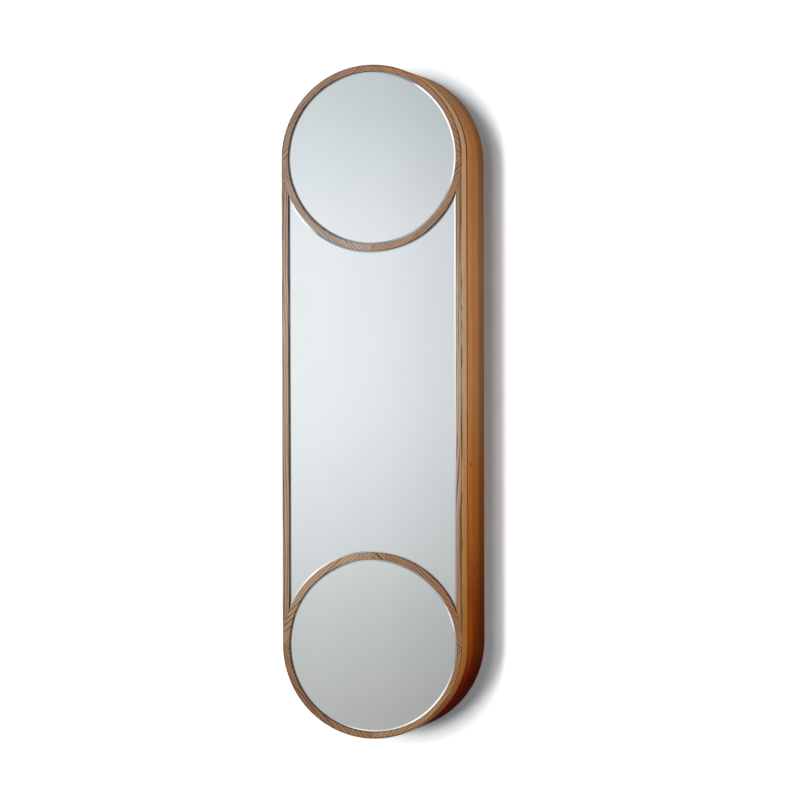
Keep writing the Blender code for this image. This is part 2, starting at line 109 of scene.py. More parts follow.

# Painted light and shade that multiplies them, from the cabinet's bottom, 0, to its top, 1: a painted
# sheen part way up and painted shade deepening towards the bottom.
LEFT_PAINTED_LIGHT = (
    (0.0, (0.53, 0.36, 0.24)),
    (0.045, (0.43, 0.25, 0.145)),
    (0.135, (0.49, 0.36, 0.23)),
    (0.140, (0.60, 0.48, 0.36)),
    (0.24, (0.72, 0.61, 0.51)),
    (0.35, (0.75, 0.65, 0.55)),
    (0.5, (0.77, 0.74, 0.70)),
    (0.65, (0.95, 0.95, 1.0)),
    (0.83, (0.64, 0.60, 0.61)),
    (0.9, (0.59, 0.53, 0.51)),
    (1.0, (0.61, 0.46, 0.39)),
)
RIGHT_PAINTED_LIGHT = (
    (0.0, (0.60, 0.49, 0.37)),
    (0.11, (0.53, 0.36, 0.21)),
    (0.18, (0.52, 0.35, 0.195)),
    (0.24, (0.54, 0.385, 0.27)),
    (0.35, (0.72, 0.64, 0.58)),
    (0.5, (0.73, 0.76, 0.81)),
    (0.64, (0.84, 0.92, 0.99)),
    (0.71, (0.72, 0.69, 0.67)),
    (0.83, (0.56, 0.43, 0.36)),
    (0.9, (0.585, 0.44, 0.36)),
    (1.0, (0.68, 0.525, 0.42)),
)
BAND_PAINTED_LIGHT = (
    (0.0, (0.53, 0.26, 0.035)),
    (0.2, (0.68, 0.44, 0.13)),
    (0.4, (0.76, 0.60, 0.42)),
    (0.52, (1.0, 1.0, 1.0)),
    (0.85, (0.90, 0.84, 0.82)),
    (0.92, (0.80, 0.71, 0.72)),
)
CASE_PAINTED_LIGHT = (
    (0.06, (0.185, 0.015, 0.001)),
    (0.09, (0.205, 0.032, 0.001)),
    (0.14, (0.32, 0.105, 0.003)),
    (0.2, (0.42, 0.20, 0.019)),
    (0.3, (0.66, 0.45, 0.19)),
    (0.4, (0.80, 0.61, 0.36)),
    (0.52, (0.94, 0.94, 0.92)),
    (0.7, (0.99, 1.0, 1.0)),
    (0.86, (0.88, 0.80, 0.74)),
    (0.91, (0.80, 0.78, 0.78)),
    (0.94, (0.75, 0.79, 0.90)),
    (0.97, (0.76, 0.87, 1.2)),
)

# Strips of tone on the case from its front, 0, to its back, 1, with painted light at the front and
# painted shade deepening towards the wall: where it is straight, and at its ends.
STRAIGHT_STRIPS_AND_PAINTED_LIGHT = ((0.0, 1.20), (0.22, 1.18), (0.30, 1.0), (0.58, 0.98), (0.74, 0.55), (1.0, 0.50))
TOP_STRIPS_AND_PAINTED_LIGHT = ((0.0, 1.03), (0.22, 1.02), (0.30, 0.96), (0.58, 1.0), (0.74, 0.66), (1.0, 0.60))
BOTTOM_STRIPS_AND_PAINTED_LIGHT = (
    (0.0, (1.77, 2.6, 1.8)),
    (0.19, (1.74, 2.5, 1.75)),
    (0.34, (1.03, 1.2, 0.9)),
    (0.61, (0.83, 0.95, 0.6)),
    (0.71, (0.64, 0.75, 0.5)),
    (1.0, (0.55, 0.65, 0.4)),
)

# One knot on the case's right side: its centre and reach along, across and into the wood.
KNOT = (CENTRE_Z - 0.135, CASE_FRONT + 0.033, RADIUS)
KNOT_REACH = (0.004, 0.005, 0.01)


# --- shader helpers ---------------------------------------------------------------


class Nodes:
    """Short calls for building one node tree."""

    def __init__(self, tree):
        self.tree = tree

    def add(self, kind, inputs=None, **settings):
        """Adds a node with these settings and inputs."""
        item = self.tree.nodes.new(kind)
        for key, value in settings.items():
            setattr(item, key, value)
        for key, value in (inputs or {}).items():
            self.put(item.inputs[key], value)
        return item

    def put(self, socket, value):
        """Links an output to the socket, or sets the socket's own value."""
        if isinstance(value, bpy.types.NodeSocket):
            self.tree.links.new(value, socket)
        else:
            socket.default_value = value

    def math(self, operation, first, second=0.0, third=None):
        """One sum, such as MULTIPLY_ADD, which needs the third value."""
        item = self.add("ShaderNodeMath", operation=operation)
        self.put(item.inputs[0], first)
        self.put(item.inputs[1], second)
        if third is not None:
            self.put(item.inputs[2], third)
        return item.outputs[0]

    def stretch(self, vector, scale, shift=(0, 0, 0)):
        """The vector scaled on each axis, then shifted."""
        item = self.add("ShaderNodeMapping", {"Vector": vector, "Scale": scale, "Location": shift})
        return item.outputs[0]

    def noise(self, vector, scale, detail=2.0, roughness=0.5, shift=(0, 0, 0)):
        """Noise with a scale along, across and into the board, in waves per metre."""
        inputs = {
            "Vector": self.stretch(vector, scale, shift),
            "Scale": 1.0,
            "Detail": detail,
            "Roughness": roughness,
        }
        return self.add("ShaderNodeTexNoise", inputs).outputs["Fac"]

    def ramp(self, value, stops, interpolation="LINEAR"):
        """The colour at a value, from stops between 0 and 1."""
        item = self.add("ShaderNodeValToRGB", {"Fac": value})
        band = item.color_ramp
        band.interpolation = interpolation
        while len(band.elements) < len(stops):
            band.elements.new(0.5)
        for element, (position, colour) in zip(band.elements, stops):
            element.position = position
            element.color = (*colour, 1.0)
        return item.outputs["Color"]

    def grey_ramp(self, value, stops):
        """A ramp whose stops are greys."""
        return self.ramp(value, [(place, (grey, grey, grey)) for place, grey in stops])

    def fit(self, value, low, high, to_low, to_high):
        """Takes the range from low to high to another range, and stays inside that one."""
        inputs = {
            "Value": value,
            "From Min": low,
            "From Max": high,
            "To Min": to_low,
            "To Max": to_high,
        }
        return self.add("ShaderNodeMapRange", inputs).outputs["Result"]

    def mix(self, factor, one, two, blend="MIX"):
        """From the first colour, at 0, to the second or to the two blended, at 1."""
        item = self.add("ShaderNodeMix", data_type="RGBA", blend_type=blend)
        self.put(item.inputs[0], factor)
        for socket, value in ((item.inputs[6], one), (item.inputs[7], two)):
            if isinstance(value, tuple):
                value = (*value, 1.0)
            self.put(socket, value)
        return item.outputs[2]

    def bump(self, height, strength, distance):
        """A normal bent by a height pattern."""
        inputs = {"Height": height, "Strength": strength, "Distance": distance}
        return self.add("ShaderNodeBump", inputs).outputs["Normal"]


def new_material(name):
    """An empty Principled material: (material, node helper, shader)."""
    material = bpy.data.materials.new(name)
    material.use_nodes = True
    tree = material.node_tree
    shader = tree.nodes["Principled BSDF"]
    return material, Nodes(tree), shader


def grain_coordinates(nodes, along):
    """Along, across and into the board: from the mesh, or from an axis of the object."""
    if along is None:
        return nodes.add("ShaderNodeAttribute", attribute_name=GRAIN).outputs["Vector"]
    place = nodes.add("ShaderNodeTexCoord").outputs["Object"]
    parts = nodes.add("ShaderNodeSeparateXYZ", {"Vector": place})
    order = {"X": "XZY", "Z": "ZXY", "ZY": "ZYX"}[along]
    inputs = {key: parts.outputs[axis] for key, axis in zip("XYZ", order)}
    return nodes.add("ShaderNodeCombineXYZ", inputs).outputs["Vector"]


def growth_lines(nodes, place, parts, pitch, contrast):
    """Dark growth lines a pitch apart, wavy and uneven in strength."""
    layer_tilt, broad_wave, fine_wave = 0.35, 0.045, 0.0030
    broad = nodes.noise(place, (1.9, 16.0, 16.0), detail=1.5)
    fine = nodes.noise(place, (9.0, 95.0, 95.0), detail=2.0, shift=(3.1, 0.7, 5.3))
    across = nodes.math("MULTIPLY_ADD", parts.outputs["Z"], layer_tilt, parts.outputs["Y"])
    across = nodes.math("MULTIPLY_ADD", nodes.math("SUBTRACT", broad, 0.5), broad_wave, across)
    across = nodes.math("MULTIPLY_ADD", nodes.math("SUBTRACT", fine, 0.5), fine_wave, across)
    lines = nodes.math("FRACT", nodes.math("DIVIDE", across, pitch))
    growth = nodes.grey_ramp(lines, ((0.0, 0.0), (0.5, 0.12), (0.72, 0.7), (0.85, 1.0), (1.0, 0.0)))
    strength = nodes.noise(place, (5.0, 70.0, 70.0), detail=1.0, shift=(9.0, 2.0, 1.0))
    strength = nodes.fit(strength, 0.36, 0.60, 0.4 * contrast, contrast)
    return nodes.math("MULTIPLY", growth, strength)


def uneven_level(nodes, place, fibres):
    """Brightness round 1: uneven from fibre to fibre, and drifting along the board."""
    spread = 0.14
    drift = nodes.noise(place, (1.3, 9.0, 9.0), detail=2.0, shift=(4.0, 8.0, 6.0))
    level = nodes.math("ADD", nodes.fit(fibres, 0.25, 0.75, -spread, spread), 1.0)
    level = nodes.math("ADD", level, nodes.fit(drift, 0.25, 0.75, -spread, spread))
    inputs = {"X": level, "Y": level, "Z": level}
    return nodes.add("ShaderNodeCombineXYZ", inputs).outputs["Vector"]


def case_strips_and_painted_light(nodes, depth, height):
    """Strips of tone from the case's front to its back, steeper at the bottom end: painted light at the
    front and painted shade deepening towards the wall.
    """
    across = nodes.fit(depth, CASE_FRONT, 0.0, 0.0, 1.0)
    middle = nodes.grey_ramp(across, STRAIGHT_STRIPS_AND_PAINTED_LIGHT)
    painted_light_tones = nodes.mix(nodes.fit(height, 0.14, 0.21, 0.0, 1.0), nodes.ramp(across, BOTTOM_STRIPS_AND_PAINTED_LIGHT), middle)
    return nodes.mix(nodes.fit(height, 0.86, 0.92, 0.0, 1.0), painted_light_tones, nodes.grey_ramp(across, TOP_STRIPS_AND_PAINTED_LIGHT))


def painted_gap_shadow(nodes, depth, from_axis, height):
    """A painted shadow line on the outer edge of the case's front, in the door's shadow gap, fading
    towards the bottom.
    """
    soft_edge = 0.0003
    reach = nodes.fit(height, 0.45, 0.90, 0.0012, 0.0036)
    behind_front = nodes.math("SUBTRACT", depth, CASE_FRONT)
    at_front = nodes.fit(nodes.math("DIVIDE", behind_front, reach), 0.8, 1.1, 1.0, 0.0)
    at_edge = nodes.fit(from_axis, RADIUS - GAP_SHADOW_WIDTH - soft_edge, RADIUS - GAP_SHADOW_WIDTH, 0.0, 1.0)
    line = nodes.math("MULTIPLY", at_front, at_edge)
    return nodes.math("MULTIPLY", line, nodes.fit(height, 0.25, 0.6, 0.0, 1.0))


def with_painted_light(nodes, colour, parts, tone_and_painted_light, strips_and_painted_shade, gap_shadow_colour):
    """The colour times painted light and shade by height; for the case, strips with painted shade
    towards the wall and a painted shadow line in the door's gap.
    """
    spot = nodes.add("ShaderNodeTexCoord").outputs["Object"]
    height = nodes.add("ShaderNodeSeparateXYZ", {"Vector": spot}).outputs["Z"]
    height = nodes.fit(height, CENTRE_Z - HALF_HEIGHT, CENTRE_Z + HALF_HEIGHT, 0.0, 1.0)
    # Painted light and shade by height: a sheen part way up, shade deepening towards the bottom.
    painted_light_tones = nodes.ramp(height, tone_and_painted_light)
    if not strips_and_painted_shade:
        return nodes.mix(1.0, colour, painted_light_tones, blend="MULTIPLY")
    depth = parts.outputs["Y"]
    from_axis = nodes.math("ABSOLUTE", parts.outputs["Z"])
    # All of the painted light and shade on the outer face, and a quarter of it inside the case.
    outside = nodes.fit(from_axis, RADIUS - 0.006, RADIUS - 0.001, 0.25, 1.0)
    painted_light_tones = nodes.mix(1.0, painted_light_tones, case_strips_and_painted_light(nodes, depth, height), blend="MULTIPLY")
    colour = nodes.mix(outside, colour, painted_light_tones, blend="MULTIPLY")
    # A painted shadow line in the door's shadow gap.
    return nodes.mix(painted_gap_shadow(nodes, depth, from_axis, height), colour, gap_shadow_colour)


def with_knot(nodes, colour, place, knot, knot_colour):
    """The colour with a small dark knot at a place along, across and into the wood."""
    scale = tuple(1 / reach for reach in KNOT_REACH)
    centre = tuple(-part / reach for part, reach in zip(knot, KNOT_REACH))
    away = nodes.stretch(place, scale, centre)
    distance = nodes.add("ShaderNodeVectorMath", {0: away}, operation="LENGTH").outputs["Value"]
    return nodes.mix(nodes.fit(distance, 0.5, 1.6, 0.9, 0.0), colour, knot_colour)


def wood(name, colours, pitch, along=None, roughness=0.42, contrast=0.8, gloss=0.5,
         tone_and_painted_light=(), strips_and_painted_shade=False, knot=None):
    """Sawn wood: growth lines a pitch apart, fine fibres, open pores and drifts of tone.

    The ramp by height paints light and shade; the case's option adds its strips with painted shade
    towards the wall and a painted shadow line in the gap behind the door; knot is a place along, across
    and into the wood.
    """
    material, nodes, shader = new_material(name)
    pale, dark = colours
    deepest = tuple(0.4 * part for part in dark)
    place = grain_coordinates(nodes, along)
    parts = nodes.add("ShaderNodeSeparateXYZ", {"Vector": place})
    growth = growth_lines(nodes, place, parts, pitch, contrast)
    fibres = nodes.noise(place, (26.0, 900.0, 900.0), detail=4.0, roughness=0.62)
    streaks = nodes.noise(place, (60.0, 2100.0, 2100.0), detail=2.0, shift=(7.0, 1.0, 3.0))
    pore = nodes.fit(streaks, 0.60, 0.70, 0.0, 0.5)
    colour = nodes.mix(growth, pale, dark)
    colour = nodes.mix(pore, colour, deepest)
    colour = nodes.mix(1.0, colour, uneven_level(nodes, place, fibres), blend="MULTIPLY")
    if tone_and_painted_light:
        # Near-black colour for the painted shadow line in the door's gap.
        gap_shadow_colour = tuple(0.2 * part for part in deepest)
        colour = with_painted_light(nodes, colour, parts, tone_and_painted_light, strips_and_painted_shade, gap_shadow_colour)
    if knot:
        colour = with_knot(nodes, colour, place, knot, deepest)
    nodes.put(shader.inputs["Base Color"], colour)
    shader.inputs["Specular IOR Level"].default_value = gloss
    rough = nodes.fit(fibres, 0.2, 0.8, roughness - 0.05, roughness + 0.08)
    nodes.put(shader.inputs["Roughness"], rough)
    relief = nodes.math("MULTIPLY_ADD", growth, 0.35, nodes.math("MULTIPLY", fibres, 0.5))
    relief = nodes.math("SUBTRACT", relief, pore)
    nodes.put(shader.inputs["Normal"], nodes.bump(relief, 0.22, 0.0003))
    return material


def board(name, pale, dark):
    """Pressed board: fine chips with no direction."""
    material, nodes, shader = new_material(name)
    place = nodes.add("ShaderNodeTexCoord").outputs["Object"]
    chips = nodes.add("ShaderNodeTexVoronoi", {"Vector": place, "Scale": 320.0})
    fine = nodes.noise(place, (900.0, 900.0, 900.0), detail=3.0)
    mixed = nodes.math("MULTIPLY_ADD", fine, 0.5, nodes.math("MULTIPLY", chips.outputs["Distance"], 0.8))
    nodes.put(shader.inputs["Base Color"], nodes.ramp(mixed, ((0.2, dark), (0.8, pale))))
    shader.inputs["Roughness"].default_value = 0.85
    nodes.put(shader.inputs["Normal"], nodes.bump(mixed, 0.25, 0.0004))
    return material


def silvered_glass():
    """A mirror with hardly visible wiping marks."""
    material, nodes, shader = new_material("silvered_glass")
    place = nodes.add("ShaderNodeTexCoord").outputs["Object"]
    wipes = nodes.noise(place, (9.0, 9.0, 4.0), detail=5.0, roughness=0.7)
    tint = nodes.ramp(wipes, ((0.3, (0.875, 0.895, 0.895)), (0.7, (0.895, 0.91, 0.912))))
    nodes.put(shader.inputs["Base Color"], tint)
    shader.inputs["Metallic"].default_value = 1.0
    nodes.put(shader.inputs["Roughness"], nodes.fit(wipes, 0.3, 0.7, 0.004, 0.014))
    return material


def glass_rim():
    """The ground edge of the glass, green in its depth."""
    material, nodes, shader = new_material("glass_rim")
    place = nodes.add("ShaderNodeTexCoord").outputs["Object"]
    grind = nodes.noise(place, (400.0, 3000.0, 400.0), detail=3.0)
    colour = nodes.ramp(grind, ((0.3, (0.05, 0.12, 0.10)), (0.7, (0.14, 0.24, 0.21))))
    nodes.put(shader.inputs["Base Color"], colour)
    shader.inputs["Roughness"].default_value = 0.35
    nodes.put(shader.inputs["Normal"], nodes.bump(grind, 0.2, 0.0001))
    return material


def backing_paint():
    """Sprayed grey paint on the back of the glass."""
    material, nodes, shader = new_material("mirror_backing_paint")
    place = nodes.add("ShaderNodeTexCoord").outputs["Object"]
    spray = nodes.noise(place, (500.0, 500.0, 500.0), detail=3.0)
    colour = nodes.ramp(spray, ((0.3, (0.16, 0.17, 0.18)), (0.7, (0.21, 0.22, 0.23))))
    nodes.put(shader.inputs["Base Color"], colour)
    shader.inputs["Roughness"].default_value = 0.6
    return material


def metal(name, colour, roughness, brush):
    """Metal with fine brushed lines and faint, uneven tone."""
    material, nodes, shader = new_material(name)
    place = nodes.add("ShaderNodeTexCoord").outputs["Object"]
    lines = nodes.noise(place, brush, detail=3.0)
    tone_and_painted_light = nodes.noise(place, (60.0, 60.0, 60.0), detail=2.0, shift=(5.0, 3.0, 1.0))
    deep = tuple(0.72 * part for part in colour)
    nodes.put(shader.inputs["Base Color"], nodes.ramp(tone_and_painted_light, ((0.35, deep), (0.65, colour))))
    shader.inputs["Metallic"].default_value = 1.0
    nodes.put(shader.inputs["Roughness"], nodes.fit(lines, 0.2, 0.8, roughness - 0.08, roughness + 0.1))
    nodes.put(shader.inputs["Normal"], nodes.bump(lines, 0.1, 0.0001))
    return material


def rubber():
    """Dark, soft, finely gritty rubber."""
    material, nodes, shader = new_material("soft_rubber")
    place = nodes.add("ShaderNodeTexCoord").outputs["Object"]
    grit = nodes.noise(place, (1500.0, 1500.0, 1500.0), detail=2.0)
    colour = nodes.ramp(grit, ((0.3, (0.035, 0.035, 0.035)), (0.7, (0.060, 0.060, 0.058))))
    nodes.put(shader.inputs["Base Color"], colour)
    shader.inputs["Roughness"].default_value = 0.8
    nodes.put(shader.inputs["Normal"], nodes.bump(grit, 0.15, 0.0002))
    return material


# --- meshes -------------------------------------------------------------------------


def add_piece(name, body, node, mesh):
    """Puts a finished mesh on its body, in place of its CAD node."""
    piece = bpy.data.objects.new(name, mesh)
    bpy.context.scene.collection.objects.link(piece)
    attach(piece, body)
    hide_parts(node)


def skin(name, sections, closed=False, sharp=WOOD_SHARP, grain=None):
    """A mesh through cross-sections of equal length, with the grain at each of their points."""
    count = len(sections[0])
    points = [point for section in sections for point in section]
    faces = []
    rows = len(sections) if closed else len(sections) - 1
    for row in range(rows):
        one, two = row * count, (row + 1) % len(sections) * count
        for i in range(count):
            j = (i + 1) % count
            faces.append((one + i, one + j, two + j, two + i))
    if not closed:
        faces.append(tuple(range(count)))
        faces.append(tuple(range(len(points) - count, len(points))))
    mesh = bpy.data.meshes.new(name)
    mesh.from_pydata(points, [], faces)
    work = bmesh.new()
    work.from_mesh(mesh)
    bmesh.ops.recalc_face_normals(work, faces=work.faces[:])
    work.to_mesh(mesh)
    work.free()
    if grain:
        layer = mesh.attributes.new(GRAIN, "FLOAT_VECTOR", "POINT")
        for item, value in zip(layer.data, [g for section in grain for g in section]):
            item.vector = value
    mesh.shade_smooth()
    mesh.set_sharp_from_angle(angle=math.radians(sharp))
    return mesh


def rounded(corners, radii):
    """An outline with its square corners rounded; a radius of 0 leaves a corner sharp."""
    outline = []
    total = len(corners)
    for i, (corner, radius) in enumerate(zip(corners, radii)):
        here = Vector(corner)
        before = (Vector(corners[i - 1]) - here).normalized()
        after = (Vector(corners[(i + 1) % total]) - here).normalized()
        if radius == 0:
            outline.append(tuple(here))
            continue
        start, stop = here + before * radius, here + after * radius
        centre = start + stop - here
        for step in range(CORNER_STEPS + 1):
            turn = math.pi / 2 * step / CORNER_STEPS
            arm = (start - centre) * math.cos(turn) + (stop - centre) * math.sin(turn)
            outline.append(tuple(centre + arm))
    return outline


def end_point(radius, angle, end):
    """(x, z) round the centre of the top end (end 1) or the bottom end (end -1)."""
    height = CENTRE_Z + end * HALF_STRAIGHT
    return radius * math.cos(angle), height + radius * math.sin(angle)


def end_arc(radius, end, start, stop, steps):
    """(x, z) points along an arc round the centre of an end."""
    angles = [start + (stop - start) * i / steps for i in range(steps + 1)]
    return [end_point(radius, angle, end) for angle in angles]


# --- door frame ---------------------------------------------------------------------


def ring_outer(angle, beside_middle):
    """How far out a ring reaches: to the edge band, or past it to the stiles and middle mirror."""
    if not beside_middle:
        return FRAME_HALF_WIDTH
    sideways = abs(math.cos(angle))
    if RING_OUTER * sideways <= FRAME_HALF_WIDTH:
        return RING_OUTER
    return FRAME_HALF_WIDTH / sideways


def ring_angles(start):
    """The angles of a quarter's sections, with one where its outer edge leaves the frame's side."""
    gap = FIT / 2 / RING_INNER
    leaving = math.acos(FRAME_HALF_WIDTH / RING_OUTER)
    steps = ARC_STEPS // 2 - 2
    middle = math.pi / 2 - 2 * leaving
    marks = [gap, leaving / 2]
    marks += [leaving + middle * i / steps for i in range(steps + 1)]
    marks += [math.pi / 2 - leaving / 2, math.pi / 2 - gap]
    return [start + mark for mark in marks]


def ring_profile(outer, stepped):
    """A ring's cross-section, stepped where there is an open joint beside the edge band."""
    back = [(outer, FRAME_BACK), (RING_INNER, FRAME_BACK)]
    if not stepped:
        front = [(RING_INNER, DOOR_FRONT), (outer, DOOR_FRONT)]
        return rounded(front + back, (ARRIS, SMALL_ARRIS, 0, 0))
    bottom = DOOR_FRONT + JOINT_DEPTH
    front = [(RING_INNER, DOOR_FRONT), (outer - JOINT_WIDTH, DOOR_FRONT)]
    step = [(outer - JOINT_WIDTH, bottom), (outer, bottom)]
    return rounded(front + step + back, (ARRIS, SMALL_ARRIS, 0, 0, 0, 0))


def make_rings(finishes):
    """Eight quarters, each sawn from a straight board laid along its chord."""
    quarters = ("upper_right", "upper_left", "lower_left", "lower_right")
    for word, end in (("top", 1), ("bottom", -1)):
        centre = Vector((0, 0, CENTRE_Z + end * HALF_STRAIGHT))
        for number, quarter in enumerate(quarters):
            node = f"ring_{word}_{quarter}"
            beside_middle = quarter.startswith("lower") == (end > 0)
            stepped = "right" in quarter and not beside_middle
            middle = (number + 0.5) * math.pi / 2
            outward = Vector((math.cos(middle), 0, math.sin(middle)))
            chord = Vector((-outward.z, 0, outward.x))
            # Each quarter is cut from its own place in the board.
            shift = Vector((0.9 * number + 4.1 * end, 0.013 * number, 0.02 * end))
            sections, grain = [], []
            for angle in ring_angles(number * math.pi / 2):
                outer = ring_outer(angle, beside_middle)
                section = []
                for radius, y in ring_profile(outer, stepped):
                    x, z = end_point(radius, angle, end)
                    section.append(Vector((x, y, z)))
                sections.append(section)
                arms = [point - centre for point in section]
                grain.append([Vector((a.dot(chord), a.dot(outward), a.y)) + shift for a in arms])
            mesh = skin(node + "_wood", sections, grain=grain)
            mesh.materials.append(finishes["right" if "right" in quarter else "left"])
            add_piece(node + "_wood", DOOR, node, mesh)


def stile_outline(side, inset, joint):
    """A stile's outline, its ends hollowed to sit on the rings."""
    near, far = STILE_INNER + inset, FRAME_HALF_WIDTH - joint - inset
    across = [near + (far - near) * i / STILE_STEPS for i in range(STILE_STEPS + 1)]
    radius = RING_OUTER + FIT + inset
    heights = [HALF_STRAIGHT - math.sqrt(radius * radius - x * x) for x in across]
    top = [(side * x, CENTRE_Z + h) for x, h in zip(across, heights)]
    bottom = [(side * x, CENTRE_Z - h) for x, h in zip(across, heights)]
    return top + bottom[::-1]


def make_stiles(finishes):
    """Two straight stiles, the right one stepped for the open joint beside the edge band."""
    ease = SMALL_ARRIS
    shoulder = 0.3 * ease  # how far in a rounded edge is at 45 degrees
    joint_floor = DOOR_FRONT + JOINT_DEPTH
    for word, side, joint in (("left", -1, 0.0), ("right", 1, JOINT_WIDTH)):
        steps = [(0.0, 0.0, FRAME_BACK)]
        if joint:
            steps += [(0.0, 0.0, joint_floor), (0.0, joint, joint_floor)]
        steps += [
            (0.0, joint, DOOR_FRONT + ease),
            (shoulder, joint, DOOR_FRONT + shoulder),
            (ease, joint, DOOR_FRONT),
        ]
        node = f"stile_{word}"
        sections = [
            [Vector((x, y, z)) for x, z in stile_outline(side, inset, gap)]
            for inset, gap, y in steps
        ]
        own_place = 7.0 * side  # where along the board this stile is cut
        grain = [[Vector((p.z + own_place, p.x, p.y)) for p in row] for row in sections]
        mesh = skin(node + "_wood", sections, grain=grain)
        mesh.materials.append(finishes[word])
        add_piece(node + "_wood", DOOR, node, mesh)


def make_edge_band(edge, front):
    """The strip bent round the door, its grain running along it; its front looks like the frame."""
    facing_front = -0.6
    corners = (
        (RADIUS, DOOR_FRONT),
        (RADIUS, DOOR_BACK),
        (RADIUS - BAND_THICKNESS, DOOR_BACK),
        (RADIUS - BAND_THICKNESS, DOOR_FRONT),
    )
    profile = rounded(corners, (ARRIS, SMALL_ARRIS, 0, SMALL_ARRIS))
    sections, grain = [], []
    for end, start, travelled in ((1, 0.0, 0.0), (-1, math.pi, math.pi * RADIUS + 2 * HALF_STRAIGHT)):
        for i in range(ARC_STEPS + 1):
            turn = math.pi * i / ARC_STEPS
            section, along = [], []
            for radius, y in profile:
                x, z = end_point(radius, start + turn, end)
                section.append(Vector((x, y, z)))
                along.append(Vector((travelled + turn * RADIUS, y, radius)))
            sections.append(section)
            grain.append(along)
    mesh = skin("door_edge_strip", sections, closed=True, grain=grain)
    for finish in (edge, front["left"], front["right"]):
        mesh.materials.append(finish)
    for face in mesh.polygons:
        if face.normal.y < facing_front:
            face.material_index = 1 if face.center.x < 0 else 2
    add_piece("door_edge_strip", DOOR, "door_edge_band", mesh)


# --- mirrors ------------------------------------------------------------------------


def round_outline(end, inset):
    """A round mirror's outline, drawn in by the inset."""
    return end_arc(GLASS_RADIUS - inset, end, 0, 2 * math.pi, 2 * ARC_STEPS)[:-1]


def middle_outline(inset):
    """The long mirror's outline, its ends hollowed round the rings, drawn in by the inset."""
    half = MIDDLE_HALF_WIDTH - inset
    radius = RING_OUTER + GLASS_CLEARANCE + inset
    corner = math.acos(half / radius)
    top = end_arc(radius, 1, -corner, corner - math.pi, ARC_STEPS)
    bottom = end_arc(radius, -1, math.pi - corner, corner, ARC_STEPS)
    return top + bottom


def make_mirrors():
    """Plates of silvered glass: painted back, ground rim, bevel and flat front."""
    silver, rim, paint = silvered_glass(), glass_rim(), backing_paint()
    facing = 0.9
    levels = (
        (0.0, GLASS_BACK),
        (0.0, GLASS_FRONT + BEVEL_DROP + BEVEL_FLAT),
        (BEVEL_FLAT, GLASS_FRONT + BEVEL_DROP),
        (BEVEL_WIDTH, GLASS_FRONT),
    )
    outlines = {
        "mirror_top": lambda inset: round_outline(1, inset),
        "mirror_middle": middle_outline,
        "mirror_bottom": lambda inset: round_outline(-1, inset),
    }
    for node, outline_at in outlines.items():
        sections = [[(x, y, z) for x, z in outline_at(inset)] for inset, y in levels]
        mesh = skin(node + "_glass", sections, sharp=GLASS_SHARP)
        for finish in (silver, rim, paint):
            mesh.materials.append(finish)
        for face in mesh.polygons:
            if face.normal.y > facing:
                face.material_index = 2
            elif abs(face.normal.y) < facing:
                face.material_index = 1
        add_piece(node + "_glass", DOOR, node, mesh)


# --- case ---------------------------------------------------------------------------


def make_arches(finish):
    """The bent ends of the case, with the grain following the bend."""
    step = PANEL_FRONT - FIT
    inner = RADIUS - WALL_THICKNESS
    rebate = PANEL_RADIUS + FIT
    corners = (
        (RADIUS, CASE_FRONT),
        (RADIUS, 0.0),
        (rebate, 0.0),
        (rebate, step),
        (inner, step),
        (inner, CASE_FRONT),
    )
    profile = rounded(corners, (SMALL_ARRIS, SMALL_ARRIS, 0, 0, 0, ARRIS))
    for word, end in (("top", 1), ("bottom", -1)):
        node = f"case_{word}_arch"
        own_place = 5.0 * end  # where along the board this end is cut
        sections, grain = [], []
        for i in range(ARC_STEPS + 1):
            turn = math.pi * i / ARC_STEPS
            section, along = [], []
            for radius, y in profile:
                x, z = end_point(radius, end * turn, end)
                section.append(Vector((x, y, z)))
                along.append(Vector((turn * RADIUS + own_place, y, radius)))
            sections.append(section)
            grain.append(along)
        mesh = skin(node + "_wood", sections, grain=grain)
        mesh.materials.append(finish)
        add_piece(node + "_wood", CASE, node, mesh)


def ease_edges(node, width):
    """Small rounded edges on a CAD node that stays in view."""
    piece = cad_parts[node]
    weld = piece.modifiers.new("weld", "WELD")
    weld.merge_threshold = WELD_DISTANCE
    bevel = piece.modifiers.new("ease", "BEVEL")
    bevel.width = width
    bevel.segments = 2
    bevel.limit_method = "ANGLE"
    bevel.angle_limit = math.radians(EASED_ANGLE)
    bevel.use_clamp_overlap = True
    piece.data.shade_smooth()
    smooth = piece.modifiers.new("smooth", "WEIGHTED_NORMAL")
    smooth.keep_sharp = True


def finish_node(node, material, slot, ease=0.0):
    """A material for a CAD node, and eased edges where a width is given."""
    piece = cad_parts[node]
    piece.data.materials.clear()
    piece.data.materials.append(material)
    if ease:
        ease_edges(node, ease)


